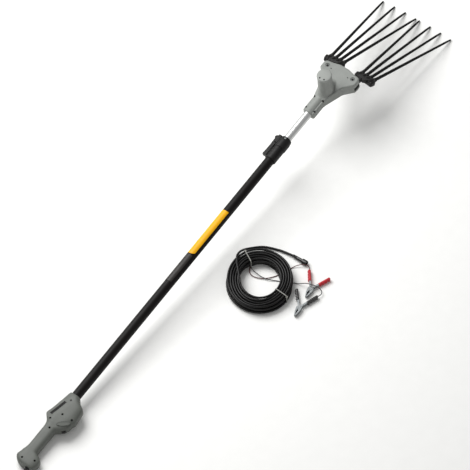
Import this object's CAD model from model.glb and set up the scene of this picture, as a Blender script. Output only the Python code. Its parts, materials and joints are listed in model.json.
"""Looks of an electric olive harvester and its battery lead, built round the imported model.

The harvester's pieces are drawn in millimetres in its own frame: x along the pole from the
mouth of the head's neck, y to the left and z up through the motor tower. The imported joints
say how that frame lies on the ground. The battery lead is drawn in the ground's own frame.
"""

import json
import logging
import math
from dataclasses import dataclass
from enum import Enum
from typing import Callable, Iterable, Sequence

import bmesh
import bpy
from bmesh.types import BMesh
from mathutils import Matrix, Vector


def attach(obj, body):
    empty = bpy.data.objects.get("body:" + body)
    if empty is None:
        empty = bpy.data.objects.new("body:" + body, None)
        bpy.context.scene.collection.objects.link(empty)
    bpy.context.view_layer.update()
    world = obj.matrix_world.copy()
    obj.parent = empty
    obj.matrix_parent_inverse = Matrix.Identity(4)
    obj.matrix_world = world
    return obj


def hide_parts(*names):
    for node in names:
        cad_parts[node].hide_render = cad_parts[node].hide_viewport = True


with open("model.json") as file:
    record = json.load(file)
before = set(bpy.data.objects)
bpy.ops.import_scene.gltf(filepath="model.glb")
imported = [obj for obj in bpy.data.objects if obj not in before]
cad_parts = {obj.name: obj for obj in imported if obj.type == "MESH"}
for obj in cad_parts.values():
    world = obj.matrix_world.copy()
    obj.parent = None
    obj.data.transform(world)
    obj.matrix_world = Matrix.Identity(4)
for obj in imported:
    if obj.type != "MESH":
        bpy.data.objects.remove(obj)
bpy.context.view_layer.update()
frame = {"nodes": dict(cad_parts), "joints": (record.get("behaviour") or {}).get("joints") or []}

MM = 0.001
# Places that sub-assemblies share, in millimetres: gear axle, rake pivots and the outer tube's skin.
GEAR_X = 140.0
PIVOT_X = 186.0
PIVOT_Y = 53.0
TUBE_SKIN_R = 17.55
# Slope of the pole and of the tines against the ground, for the patterns that run along them.
PITCH = math.radians(5.08891)
TINE_FALL = math.radians(20.3)
# Distances below which the points of a turned and of a carved mesh are merged, in millimetres.
TURNED_MERGE = 0.001
CARVED_MERGE = 0.002

Flat = tuple[float, float]
Point = tuple[float, float, float]
Corner = tuple[float, float, float]

log = logging.getLogger("harvester")


class Side(Enum):
    """Side of the harvester, as the sign of y."""

    LEFT = 1
    RIGHT = -1


class Carve(Enum):
    """What one mesh does to another."""

    UNION = "UNION"
    DIFFERENCE = "DIFFERENCE"


class Lay(Enum):
    """Direction that a surface's pattern runs in, as a turn about y."""

    GROUND = 0.0
    POLE = -PITCH
    TINE = TINE_FALL


# Frames


def moved(x: float, y: float, z: float) -> Matrix:
    """Gives a shift in millimetres."""
    return Matrix.Translation((x, y, z))


def turned(degrees: float, axis: str) -> Matrix:
    """Gives a turn about one axis."""
    return Matrix.Rotation(math.radians(degrees), 4, axis)


def facing(origin: Vector, along: Vector, up: Vector) -> Matrix:
    """Gives the frame at a point with x along one direction and z along another."""
    turn = Matrix((along, up.cross(along), up)).transposed().to_4x4()
    return Matrix.Translation(origin) @ turn


def lying_frame() -> Matrix:
    """Gives the matrix from the harvester's millimetres to the ground's metres.

    Returns:
        The frame whose x is the pole's slide and whose z is the drive gear's axis.
    """
    joints = {joint["name"]: joint for joint in frame["joints"]}
    along = Vector(joints["pole_extend"]["axis"])
    up = Vector(joints["drive_spin"]["axis"])
    origin = Vector(joints["drive_spin"]["pos_m"]) - along * GEAR_X * MM
    return facing(origin, along, up) @ Matrix.Scale(MM, 4)


LYING = lying_frame()
GROUND = Matrix.Scale(MM, 4)
ALONG_X = turned(90, "Y")


# Finishes


def linear(colour: str) -> tuple[float, float, float, float]:
    """Turns an sRGB hex colour to linear light.

    Args:
        colour: A colour such as "#8d928c".

    Returns:
        Red, green, blue and alpha.
    """
    parts = [int(colour[i:i + 2], 16) / 255 for i in (1, 3, 5)]
    light = [c / 12.92 if c <= 0.04045 else ((c + 0.055) / 1.055) ** 2.4 for c in parts]
    return (*light, 1.0)


# Blender's numbers for the share and the two colours that a mix node takes, and for the one it gives.
MIX_SHARE = 0
MIX_FIRST = 6
MIX_SECOND = 7
MIXED = 2


def add_node(tree: bpy.types.NodeTree, kind: str, values: dict, links: dict) -> bpy.types.NodeOutputs:
    """Adds one node with its settings and links.

    Args:
        tree: Node tree that gets the node.
        kind: Blender's name of the node, without its first words.
        values: Setting or input, by name or number, to its value.
        links: Input, by name or number, to the output that feeds it.

    Returns:
        The outputs of the new node.
    """
    node = tree.nodes.new("ShaderNode" + kind)
    for key, value in values.items():
        if isinstance(key, str) and hasattr(node, key):
            setattr(node, key, value)
        else:
            node.inputs[key].default_value = value
    for key, source in links.items():
        tree.links.new(source, node.inputs[key])
    return node.outputs


@dataclass(frozen=True)
class Finish:
    """A real material and how its surface was made, with pattern sizes in millimetres.

    The grain of these surfaces is really finer than a tenth of a millimetre. That is too fine to
    show in the render, so it is drawn as coarse as it needs to show.
    """

    name: str
    colour: str
    shade: str
    roughness: float
    spread: float = 0.06
    patch: float = 45.0
    grain: float = 1.2
    relief: float = 0.02
    metallic: float = 0.0
    ior: float = 1.5
    coat: float = 0.0
    lay: Lay = Lay.GROUND
    stretch: float = 1.0
    scuff: str = ""
    scuff_size: float = 14.0
    patch_share: Flat = (0.3, 0.7)
    grain_share: Flat = (0.25, 0.75)
    scuff_share: Flat = (0.58, 0.72)
    scuff_depth: float = 0.6
    patch_detail: float = 4.0
    grain_detail: float = 2.0
    scuff_detail: float = 8.0
    scuff_break: float = 0.7

    def make(self) -> bpy.types.Material:
        """Builds the node tree of the finish.

        Returns:
            The material.
        """
        material = bpy.data.materials.new(self.name)
        material.use_nodes = True
        tree = material.node_tree
        tree.nodes.clear()
        where = add_node(tree, "TexCoord", {}, {})["Object"]
        lie = {
            "vector_type": "TEXTURE",
            "Rotation": (0.0, self.lay.value, 0.0),
            "Scale": (self.stretch, 1.0, 1.0),
        }
        laid = {"Vector": add_node(tree, "Mapping", lie, {"Vector": where})["Vector"]}
        patch = {"Scale": 1 / (self.patch * MM), "Detail": self.patch_detail}
        patches = add_node(tree, "TexNoise", patch, laid)["Fac"]
        grain = {"Scale": 1 / (self.grain * MM), "Detail": self.grain_detail}
        grains = add_node(tree, "TexNoise", grain, laid)["Fac"]
        blotch = {"From Min": self.patch_share[0], "From Max": self.patch_share[1]}
        blotches = add_node(tree, "MapRange", blotch, {"Value": patches})["Result"]
        tones = {"data_type": "RGBA", MIX_FIRST: linear(self.colour), MIX_SECOND: linear(self.shade)}
        tone = add_node(tree, "Mix", tones, {MIX_SHARE: blotches})[MIXED]
        if self.scuff:
            rub = {"Scale": 1 / (self.scuff_size * MM), "Detail": self.scuff_detail}
            rubs = add_node(tree, "TexNoise", {**rub, "Roughness": self.scuff_break}, laid)["Fac"]
            wear = {"From Min": self.scuff_share[0], "From Max": self.scuff_share[1]}
            wear["To Max"] = self.scuff_depth
            worn = add_node(tree, "MapRange", wear, {"Value": rubs})["Result"]
            bare = {"data_type": "RGBA", MIX_SECOND: linear(self.scuff)}
            tone = add_node(tree, "Mix", bare, {MIX_SHARE: worn, MIX_FIRST: tone})[MIXED]
        gloss = {
            "From Min": self.grain_share[0],
            "From Max": self.grain_share[1],
            "To Min": self.roughness - self.spread,
            "To Max": self.roughness + self.spread,
        }
        rough = add_node(tree, "MapRange", gloss, {"Value": grains})["Result"]
        bump = add_node(tree, "Bump", {"Distance": self.relief * MM}, {"Height": grains})["Normal"]
        shader = add_node(
            tree,
            "BsdfPrincipled",
            {"Metallic": self.metallic, "IOR": self.ior, "Coat Weight": self.coat},
            {"Base Color": tone, "Roughness": rough, "Normal": bump},
        )["BSDF"]
        add_node(tree, "OutputMaterial", {}, {"Surface": shader})
        return material


# Casing: ABS moulded in a spark-eroded tool, so it is evenly matt with pale rubs.
GREY_ABS = Finish("spark_textured_grey_abs", "#868985", "#7d807c", 0.52, scuff="#919490")
# Handle shells: the same ABS in a darker shade.
DARK_GREY_ABS = Finish(
    "spark_textured_dark_grey_abs", "#5a5d58", "#535651", 0.52, ior=1.45, scuff="#63665f"
)
# Motor cap: the same ABS from a smoother tool, a little paler.
PALE_ABS = Finish("fine_textured_grey_abs", "#8f928e", "#868985", 0.46)
# Hubs, clamp and trigger: nylon with glass fibre, dull black with a faint grey bloom.
BLACK_NYLON = Finish(
    "glass_filled_black_nylon", "#0b0a0a", "#121110", 0.46, ior=1.34, scuff="#1c1b1a", relief=0.04
)
# Tines: fibre rod drawn through a die, so its streaks run along it.
FIBRE_ROD = Finish(
    "pultruded_fibre_rod", "#060505", "#0b0a0a", 0.48, ior=1.26, lay=Lay.TINE, stretch=40.0,
    patch=6.0, grain=1.5,
)
# Outer tube: baked powder coat, satin black with a soft orange peel.
POWDER_COAT = Finish(
    "satin_black_powder_coat", "#090706", "#0e0b0a", 0.50, grain=2.5, relief=0.03, ior=1.26,
    scuff="#1d1917", lay=Lay.POLE, stretch=8.0,
)
# Inner tube: drawn aluminium, clear anodised, with fine lines along it.
ANODISED = Finish(
    "drawn_anodised_aluminium", "#d2d3d2", "#c4c5c4", 0.36, metallic=0.8, lay=Lay.POLE, stretch=60.0,
    patch=9.0, grain=1.6, relief=0.01,
)
# Clip jaws and springs: pressed steel with a zinc plate, bright with grey bloom.
ZINC_STEEL = Finish(
    "zinc_plated_steel", "#8f9293", "#7c8081", 0.40, metallic=0.9, patch=9.0, scuff="#6a6e6f",
    scuff_size=5.0,
)
# Screws, pivot bolts and lever pin: steel blackened in a salt bath, with an oily sheen.
BLACK_STEEL = Finish("black_oxide_steel", "#232222", "#2e2d2c", 0.4, metallic=0.6, patch=5.0)
# Bolt collars and clamp screw: phosphated steel, a dull grey close to the casing.
GREY_STEEL = Finish("phosphated_steel", "#787b78", "#6c6f6d", 0.52, metallic=0.3, patch=5.0)
# Motor can, axle and rods: turned steel.
TURNED_STEEL = Finish("turned_steel", "#a9adb0", "#989ca0", 0.35, metallic=1.0, grain=0.8)
# Bushes and pinion: sintered bronze, grainy and a little dull.
BRONZE = Finish("sintered_bronze", "#b08d4b", "#94743a", 0.42, metallic=1.0, grain=0.9, relief=0.03)
# Gear and slide bush: natural nylon, milky and waxy.
NATURAL_NYLON = Finish("natural_nylon", "#dcdad0", "#d0cdc2", 0.40)
# Ties: thin clear-white nylon strap.
TIE_NYLON = Finish("white_nylon_strap", "#93938e", "#868680", 0.42, patch=8.0)
# Band: cast vinyl film, bright yellow with a slight sheen.
YELLOW_FILM = Finish("yellow_vinyl_film", "#e8ab00", "#e0a200", 0.46, ior=1.35, grain=3.0, relief=0.01)
# Bare film beside the band: dark grey cast vinyl.
DARK_FILM = Finish("dark_grey_vinyl_film", "#262321", "#2c2926", 0.44, ior=1.35, grain=3.0, relief=0.01)
# Status strip: smoked acrylic with an etched face, black and dull.
SMOKED_ACRYLIC = Finish("smoked_acrylic", "#090909", "#0e0e0e", 0.5, spread=0.03, ior=1.25)
# Cable: soft PVC jacket, black with a dull gloss.
PVC_JACKET = Finish(
    "black_pvc_jacket", "#070606", "#0c0b0b", 0.36, ior=1.33, patch=20.0, grain=2.0, scuff="#1c1b1b"
)
# Leads: thin single-core PVC.
RED_PVC = Finish("red_pvc_wire", "#561a1e", "#481519", 0.36, patch=10.0)
BLACK_PVC = Finish("black_pvc_wire", "#1b1a1a", "#252424", 0.36, patch=10.0)
# Clip grips: steel dipped in vinyl, smooth and slightly rubbery.
RED_VINYL = Finish("dipped_red_vinyl", "#b81a28", "#a61522", 0.42, patch=12.0, ior=1.4)
BLACK_VINYL = Finish("dipped_black_vinyl", "#161515", "#201f1f", 0.34, patch=12.0, coat=0.2)
# Plug and inlet: moulded black polyamide, glossier than the hubs.
GLOSS_NYLON = Finish("gloss_black_polyamide", "#121212", "#1a1a1a", 0.26, coat=0.25, grain=2.0)
# Contacts: brass with a bright nickel-free polish.
BRASS = Finish("polished_brass", "#c9a24a", "#b58f3c", 0.24, metallic=1.0, patch=4.0)
# Circuit board: glass laminate under green solder resist.
LAMINATE = Finish("green_laminate", "#2f6b45", "#285c3b", 0.34, patch=6.0)

NODES_IN: dict[Finish, tuple[str, ...]] = {
    BLACK_STEEL: ("cap_screws", "lever_pin"),
    GREY_STEEL: ("clamp_screw",),
    TURNED_STEEL: ("motor", "gear_axle", "rod_left", "rod_right"),
    BRONZE: ("motor_pinion", "bush_left", "bush_right"),
    NATURAL_NYLON: ("drive_gear", "slide_bush"),
    ANODISED: ("inner_tube",),
    POWDER_COAT: ("outer_tube",),
    BLACK_NYLON: ("tube_liner", "trigger_switch"),
    LAMINATE: ("circuit_board",),
    ZINC_STEEL: tuple(
        f"{pole}_{part}" for pole in ("red", "black") for part in ("jaw_fixed", "jaw_moving", "clip_pin")
    ),
}


class Paint:
    """Makes each finish once and hands out its material."""

    made: dict[str, bpy.types.Material] = {}

    @classmethod
    def of(cls, finish: Finish) -> bpy.types.Material:
        """Gives the material of a finish, made at its first use.

        Args:
            finish: The finish.

        Returns:
            Its material.
        """
        if finish.name not in cls.made:
            cls.made[finish.name] = finish.make()
        return cls.made[finish.name]


# Drawing with mesh operators


def verts_of(found: dict) -> list[bmesh.types.BMVert]:
    """Gives the vertices among an operator's results."""
    return [item for item in found["geom"] if isinstance(item, bmesh.types.BMVert)]


def shifted(bm: BMesh, place: Matrix) -> BMesh:
    """Moves a whole mesh and gives it back.

    Args:
        bm: Mesh to move.
        place: Frame that it goes to.

    Returns:
        The same mesh.
    """
    bm.transform(place)
    if place.determinant() < 0:
        bmesh.ops.reverse_faces(bm, faces=bm.faces[:])
    return bm


def outward(bm: BMesh) -> BMesh:
    """Turns the faces of a mesh outwards and gives it back."""
    bmesh.ops.recalc_face_normals(bm, faces=bm.faces[:])
    return bm


def block(low: Point, high: Point) -> BMesh:
    """Draws a box between two corners.

    Args:
        low: Its lowest corner.
        high: Its highest corner.

    Returns:
        The box.
    """
    bm = bmesh.new()
    size = Vector(high) - Vector(low)
    middle = (Vector(high) + Vector(low)) / 2
    place = Matrix.Translation(middle) @ Matrix.Diagonal((*size, 1.0))
    bmesh.ops.create_cube(bm, size=1.0, matrix=place)
    return bm


def softened(
    bm: BMesh,
    width: float,
    steps: int = 3,
    limit: float = 35.0,
    where: Callable[[Vector], bool] | None = None,
) -> BMesh:
    """Rounds the sharp edges of a mesh.

    Args:
        bm: Mesh to round.
        width: Width of the rounding.
        steps: Segments of the rounding.
        limit: Least angle between two faces of an edge that counts as sharp, in degrees.
        where: Picks edges by their middle, or all of them.

    Returns:
        The same mesh.
    """
    least = math.radians(limit)
    sharp = [
        edge
        for edge in bm.edges
        if edge.is_manifold
        and edge.calc_face_angle(0.0) > least
        and (where is None or where((edge.verts[0].co + edge.verts[1].co) / 2))
    ]
    bmesh.ops.bevel(
        bm, geom=sharp, offset=width, offset_type="OFFSET", segments=steps, profile=0.5, affect="EDGES",
        clamp_overlap=True, material=-1,
    )
    return bm


def lathe(profile: Sequence[tuple[float, float]], steps: int = 64, loop: bool = False) -> BMesh:
    """Turns a profile about z.

    Args:
        profile: Points of radius and height.
        steps: Segments round the axis.
        loop: Whether the profile closes on itself, as for a ring.

    Returns:
        The turned mesh.
    """
    bm = bmesh.new()
    verts = [bm.verts.new((radius, 0.0, height)) for radius, height in profile]
    pairs = list(zip(verts, verts[1:])) + ([(verts[-1], verts[0])] if loop else [])
    edges = [bm.edges.new(pair) for pair in pairs]
    bmesh.ops.spin(
        bm, geom=verts + edges, cent=(0, 0, 0), axis=(0, 0, 1), dvec=(0, 0, 0), angle=math.tau, steps=steps,
        use_merge=True, use_duplicate=False,
    )
    bmesh.ops.remove_doubles(bm, verts=bm.verts[:], dist=TURNED_MERGE)
    return outward(bm)


def rounded_rod(radius: float, low: float, high: float, edge: float, steps: int = 48) -> BMesh:
    """Draws an upright round bar with both rims rounded."""
    bm = lathe([(0.0, low), (radius, low), (radius, high), (0.0, high)], steps)
    return softened(bm, edge, 3, 60.0) if edge > 0 else bm


def rounded_face(corners: Sequence[Corner], level: float, steps: int = 6) -> BMesh:
    """Draws a flat face with rounded corners.

    Args:
        corners: Points of x, y and the corner's radius.
        level: Height of the face.
        steps: Segments of each corner.

    Returns:
        The face.
    """
    bm = bmesh.new()
    verts = [bm.verts.new((x, y, level)) for x, y, _ in corners]
    bm.faces.new(verts)
    spots = [Vector((x, y)) for x, y, _ in corners]
    for i, (vert, corner) in enumerate(zip(verts, corners)):
        before = (spots[i] - spots[i - 1]).normalized()
        after = (spots[(i + 1) % len(spots)] - spots[i]).normalized()
        reach = corner[2] * math.tan(before.angle(after) / 2)
        bmesh.ops.bevel(
            bm, geom=[vert], offset=reach, offset_type="OFFSET", segments=steps, profile=0.5,
            affect="VERTICES", clamp_overlap=True, material=-1,
        )
    return bm


def raised(bm: BMesh, height: float) -> BMesh:
    """Makes a flat face a slab of that height.

    Args:
        bm: The flat face.
        height: Height of the slab.

    Returns:
        The same mesh.
    """
    up = bmesh.ops.extrude_face_region(bm, geom=bm.faces[:])
    bmesh.ops.translate(bm, verts=verts_of(up), vec=(0, 0, height))
    return outward(bm)


def rim_of(bm: BMesh, width: float) -> list[bmesh.types.BMFace]:
    """Insets a flat face and gives the faces of its rim.

    Args:
        bm: The flat face.
        width: Width of the rim.

    Returns:
        The faces of the rim.
    """
    rim = bmesh.ops.inset_region(
        bm, faces=bm.faces[:], thickness=width, use_even_offset=True, use_boundary=True
    )
    return rim["faces"]


def slab(corners: Sequence[Corner], low: float, high: float, inset: float = 0.0) -> BMesh:
    """Draws an upright slab with rounded corners, drawn in by an inset.

    Args:
        corners: Points of x, y and the corner's radius.
        low: Height of its lower face.
        high: Height of its upper face.
        inset: How far its outline is drawn in.

    Returns:
        The slab.
    """
    bm = rounded_face(corners, low)
    if inset > 0:
        bmesh.ops.delete(bm, geom=rim_of(bm, inset), context="FACES")
    return raised(bm, high - low)


def hoop(corners: Sequence[Corner], wall: float, height: float) -> BMesh:
    """Draws a slab with rounded corners and a hole, so that only its wall is left.

    Args:
        corners: Points of x, y and the corner's radius.
        wall: Thickness of its wall.
        height: Its height.

    Returns:
        The hoop.
    """
    bm = rounded_face(corners, 0.0)
    rim = set(rim_of(bm, wall))
    bmesh.ops.delete(bm, geom=[face for face in bm.faces if face not in rim], context="FACES")
    return raised(bm, height)


def bridged(rings: Sequence[Sequence[Vector]]) -> BMesh:
    """Draws a closed skin through rings of equally many points.

    Args:
        rings: The rings in order, each a list of points.

    Returns:
        The skin with both ends capped.
    """
    bm = bmesh.new()
    loops = []
    for ring in rings:
        verts = [bm.verts.new(point) for point in ring]
        loops.append([bm.edges.new((a, b)) for a, b in zip(verts, verts[1:] + verts[:1])])
    for first, second in zip(loops, loops[1:]):
        bmesh.ops.bridge_loops(bm, edges=first + second)
    bmesh.ops.holes_fill(bm, edges=loops[0] + loops[-1], sides=0)
    return outward(bm)


def halved(bm: BMesh, spot: Point, away: Point) -> BMesh:
    """Cuts off what lies beyond a plane and closes the cut.

    Args:
        bm: Mesh to cut.
        spot: A point of the plane.
        away: Direction of the side that is cut off.

    Returns:
        The same mesh.
    """
    cut = bmesh.ops.bisect_plane(
        bm, geom=bm.verts[:] + bm.edges[:] + bm.faces[:], plane_co=spot, plane_no=away, clear_outer=True
    )
    edges = [item for item in cut["geom_cut"] if isinstance(item, bmesh.types.BMEdge)]
    bmesh.ops.holes_fill(bm, edges=edges, sides=0)
    return outward(bm)


def joined(meshes: Iterable[BMesh]) -> BMesh:
    """Puts several meshes into one without merging them.

    Args:
        meshes: Meshes to put together, which are used up.

    Returns:
        The whole mesh.
    """
    whole = bmesh.new()
    for bm in meshes:
        data = bpy.data.meshes.new("part")
        bm.to_mesh(data)
        bm.free()
        whole.from_mesh(data)
        bpy.data.meshes.remove(data)
    return whole


def in_scene(name: str, data: bpy.types.ID) -> bpy.types.Object:
    """Makes an object of the scene from its data.

    Args:
        name: Name of the object.
        data: Its mesh, curve, light or camera.

    Returns:
        The object.
    """
    made = bpy.data.objects.new(name, data)
    bpy.context.scene.collection.objects.link(made)
    return made


def as_object(bm: BMesh, name: str) -> bpy.types.Object:
    """Turns a mesh under construction into an object of the scene.

    Args:
        bm: The mesh, which is used up.
        name: Name of the object.

    Returns:
        The object.
    """
    data = bpy.data.meshes.new(name)
    bm.to_mesh(data)
    bm.free()
    return in_scene(name, data)


def carved(base: BMesh, tools: Sequence[BMesh], how: Carve) -> BMesh:
    """Adds meshes to a mesh, or cuts them out of it.

    Args:
        base: Mesh to work on.
        tools: Meshes to add or to cut with.
        how: Which of the two.

    Returns:
        The new mesh.
    """
    target = as_object(base, "carved")
    helpers = [as_object(tool, "carving_tool") for tool in tools]
    for helper in helpers:
        step = target.modifiers.new("carve", "BOOLEAN")
        step.operation = how.value
        step.solver = "EXACT"
        step.object = helper
    graph = bpy.context.evaluated_depsgraph_get()
    data = bpy.data.meshes.new_from_object(target.evaluated_get(graph))
    result = bmesh.new()
    result.from_mesh(data)
    for spare in [target, *helpers]:
        old = spare.data
        bpy.data.objects.remove(spare)
        bpy.data.meshes.remove(old)
    bpy.data.meshes.remove(data)
    bmesh.ops.remove_doubles(result, verts=result.verts[:], dist=CARVED_MERGE)
    return result


@dataclass(frozen=True)
class Part:
    """A piece's name, finish, CAD body and material slot, and the CAD nodes that it stands for."""

    name: str
    finish: Finish
    body: str
    slot: str
    hides: tuple[str, ...] = ()

    def settle(self, made: bpy.types.Object) -> bpy.types.Object:
        """Gives a finished object its material, body and slot.

        Args:
            made: The object.

        Returns:
            The same object.
        """
        made.data.materials.append(Paint.of(self.finish))
        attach(made, self.body)
        if self.hides:
            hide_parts(*self.hides)
        log.info("piece %s on body %s", made.name, self.body)
        return made

    def draw(self, bm: BMesh, place: Matrix, crease: float = 32.0) -> bpy.types.Object:
        """Places a mesh and makes it the piece.

        Args:
            bm: Its mesh, in millimetres.
            place: Frame that it is drawn in.
            crease: Angle above which an edge is shaded sharp, in degrees.

        Returns:
            The new object.
        """
        made = as_object(shifted(bm, place), self.name)
        made.data.shade_smooth()
        made.data.set_sharp_from_angle(angle=math.radians(crease))
        evened = made.modifiers.new("even_normals", "WEIGHTED_NORMAL")
        evened.keep_sharp = True
        return self.settle(made)

    def wire(self, points: Sequence[Vector], radius: float, sides: int) -> bpy.types.Object:
        """Draws a round wire or cord along points of the ground's frame.

        Args:
            points: Its middle line, in millimetres.
            radius: Its radius.
            sides: Fineness of its round section.

        Returns:
            The curve object.
        """
        data = bpy.data.curves.new(self.name, "CURVE")
        data.dimensions = "3D"
        data.bevel_depth = radius * MM
        data.bevel_resolution = sides
        data.use_fill_caps = True
        line = data.splines.new("POLY")
        line.points.add(len(points) - 1)
        for spot, point in zip(line.points, points):
            spot.co = (*(point * MM), 1.0)
        line.use_smooth = True
        return self.settle(in_scene(self.name, data))


def squared_ring(middle: float, half: float, high: float, power: float, sides: int) -> list[Flat]:
    """Gives points round an oval with squared-off sides.

    Args:
        middle: y of its middle.
        half: Half its width.
        high: Half its height.
        power: Power of cosine and sine, lower for squarer sides.
        sides: Number of points.

    Returns:
        The points' y and z.
    """
    points = []
    for i in range(sides):
        a = math.tau * i / sides
        c, s = math.cos(a), math.sin(a)
        y = middle + half * math.copysign(abs(c) ** power, c)
        points.append((y, high * math.copysign(abs(s) ** power, s)))
    return points


def smooth_line(points: Sequence[Vector], steps: int) -> list[Vector]:
    """Gives a smooth line through points, with equally many steps in each span.

    Args:
        points: Points to go through.
        steps: Steps in each span.

    Returns:
        The points of the line.
    """
    line = []
    last = len(points) - 1
    for i in range(last):
        a, b, c, d = points[max(i - 1, 0)], points[i], points[i + 1], points[min(i + 2, last)]
        for j in range(steps):
            t = j / steps
            bend = 2 * b + (c - a) * t + (2 * a - 5 * b + 4 * c - d) * t ** 2
            line.append(0.5 * (bend + (3 * b - a - 3 * c + d) * t ** 3))
    return line + [points[last]]


def cross_screw(radius: float, height: float) -> BMesh:
    """Draws a pan-head screw's head with a cross recess, from height 0 up.

    Args:
        radius: Radius of the head.
        height: Height of the head.

    Returns:
        The head.
    """
    dome = [
        (0.0, 0.0), (radius, 0.0), (radius, 0.45 * height), (0.92 * radius, 0.75 * height),
        (0.7 * radius, 0.95 * height), (0.0, height),
    ]
    arm = 0.62 * radius
    web = 0.16 * radius
    deep = 0.45 * height
    cuts = [
        block((-arm, -web, deep), (arm, web, 2 * height)),
        block((-web, -arm, deep), (web, arm, 2 * height)),
    ]
    return carved(lathe(dome, 24), cuts, Carve.DIFFERENCE)


# Head


@dataclass
class HeadCasing:
    """Two-part grey casing of the head with its motor tower, in the harvester's frame."""

    neck_len: float = 62.0
    neck_half_w: float = 22.0
    neck_lip: float = 4.0
    neck_top: float = 12.0
    waist_x: float = 136.0
    waist_half_w: float = 42.0
    pivot_x: float = PIVOT_X
    pivot_y: float = PIVOT_Y
    ear_r: float = 20.0
    nose_x: float = 213.0
    nose_half_w: float = 18.0
    top: float = 15.0
    bottom: float = -35.0
    seam: float = -6.0
    slot_bottom: float = -24.0
    wall: float = 3.5
    ridge_r: float = 19.0
    tube_r: float = 14.5
    tube_depth: float = 45.0
    motor_x: float = 104.0
    tower_low_r: float = 26.6
    tower_top_r: float = 24.8
    tower_top: float = 97.0
    flare: float = 24.0
    flare_h: float = 34.0
    cap_h: float = 10.0
    cap_lip: float = 1.6
    edge: float = 5.0
    bolt_r: float = 5.0
    bolt_head_r: float = 8.0
    bolt_recess: float = 2.0
    bolt_head_h: float = 4.0
    cap_ring: float = 18.5
    cap_screws: Flat = (160.0, 214.0)
    cap_screw_r: float = 3.1
    seam_gap: float = 0.3
    overlap: float = 0.6
    hollow_gap: float = 16.0
    flange_h: float = 10.0
    screw_r: float = 3.6
    screw_h: float = 2.5
    screw_hole_r: float = 3.9
    screw_seat: float = 4.0
    collar_hole_r: float = 8.3
    pin_hole_r: float = 2.2
    socket_r: float = 2.6
    clear: float = 40.0

    def outline(self) -> list[Corner]:
        """Gives the corners of the casing seen from above.

        Returns:
            Points of x, y and the corner's radius.
        """
        x, y, r = self.pivot_x, self.pivot_y, self.ear_r
        half = [
            (-self.neck_lip, -self.neck_half_w, 6.0),
            (self.neck_len, -self.neck_half_w, 12.0),
            (self.waist_x, -self.waist_half_w, 30.0),
            (x - 0.8 * r, -(y + r), 8.0),
            (x + 0.8 * r, -(y + r), 13.0),
            (x + r, -(y - 9), 12.0),
            (self.nose_x, -self.nose_half_w, 16.0),
        ]
        return half + [(cx, -cy, radius) for cx, cy, radius in reversed(half)]

    def at_pivots(self, make: Callable[[], BMesh]) -> list[BMesh]:
        """Puts one shape at each rake pivot."""
        return [shifted(make(), moved(self.pivot_x, side.value * self.pivot_y, 0)) for side in Side]

    def at_neck_screws(self, make: Callable[[], BMesh]) -> list[BMesh]:
        """Puts one shape at each screw of the neck.

        Args:
            make: Draws the shape.

        Returns:
            The shapes.
        """
        rows = (10.0, self.neck_len - 2)
        spots = [(x, side.value * (self.neck_half_w - 4)) for x in rows for side in Side]
        return [shifted(make(), moved(x, y, 0)) for x, y in spots]

    def plate(self) -> BMesh:
        """Draws the flat top with its rounded rim and its lower neck.

        Returns:
            The plate.
        """
        bm = slab(self.outline(), self.seam + self.seam_gap, self.top)
        softened(bm, self.edge, 4, 60.0, lambda spot: spot.z > self.top - 0.1)
        for x in (self.neck_len, self.neck_len + 8):
            whole = bm.verts[:] + bm.edges[:] + bm.faces[:]
            bmesh.ops.bisect_plane(bm, geom=whole, plane_co=(x, 0, 0), plane_no=(1, 0, 0))
        low = [vert for vert in bm.verts if vert.co.x < self.neck_len + 0.1 and vert.co.z > 0]
        bmesh.ops.translate(bm, verts=low, vec=(0, 0, self.neck_top - self.top))
        return bm

    def neck(self, up: int) -> BMesh:
        """Draws the upper or lower half of the round neck, from its mouth to the tower."""
        rod = shifted(rounded_rod(self.ridge_r, -self.neck_lip - 1, self.motor_x, 1.5, 72), ALONG_X)
        return halved(rod, (0, 0, self.seam + up * self.overlap), (0, 0, -up))

    def tower(self) -> BMesh:
        """Draws the motor tower, whose foot flares into the plate ahead and behind.

        Returns:
            The tower.
        """
        r = self.tower_low_r
        arc = [math.radians(10 * i) for i in range(10)]
        foot = [
            (r + self.flare * (1 - math.sin(a)), self.top + self.flare_h * (1 - math.cos(a))) for a in arc
        ]
        profile = [(0.0, 5.0), (r + self.flare, 5.0), *foot]
        profile += [(self.tower_top_r, self.tower_top), (0.0, self.tower_top)]
        bm = lathe(profile, 96)
        for vert in bm.verts:
            reach = vert.co.xy.length
            if reach > r:
                share = max(0.06, (vert.co.x / reach) ** 4)
                vert.co.xy *= (r + (reach - r) * share) / reach
        return shifted(bm, moved(self.motor_x, 0, 0))

    def rooms(self, low: float, high: float) -> list[BMesh]:
        """Draws the socket of the inner tube and the room inside the casing between two heights.

        Args:
            low: Lower end of the room.
            high: Upper end of the room.

        Returns:
            The socket and the room.
        """
        bore = shifted(rounded_rod(self.tube_r + 0.05, -20, self.tube_depth, 0), ALONG_X)
        inside = slab(self.outline(), low, high, self.wall)
        return [bore, halved(inside, (self.neck_len + self.hollow_gap, 0, 0), (-1, 0, 0))]

    def top_shell(self) -> None:
        """Builds the upper casing half with its holes."""
        bm = carved(self.plate(), [self.neck(1), self.tower()], Carve.UNION)
        cuts = self.rooms(self.seam - 1, self.top - self.wall)
        cuts += self.at_pivots(lambda: rounded_rod(self.collar_hole_r, self.top - 6, self.clear, 0))
        seat = self.neck_top - self.screw_seat
        cuts += self.at_neck_screws(lambda: rounded_rod(self.screw_hole_r, seat, self.clear, 0, 24))
        for side in Side:
            spot = moved(self.pivot_x - 4, side.value * (self.pivot_y - 18), 0)
            cuts.append(shifted(rounded_rod(self.pin_hole_r, self.top - 8, self.clear, 0, 20), spot))
        bm = carved(bm, cuts, Carve.DIFFERENCE)
        Part("head_casing_top", GREY_ABS, "head", "casing", ("head_top_shell",)).draw(bm, LYING)

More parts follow.
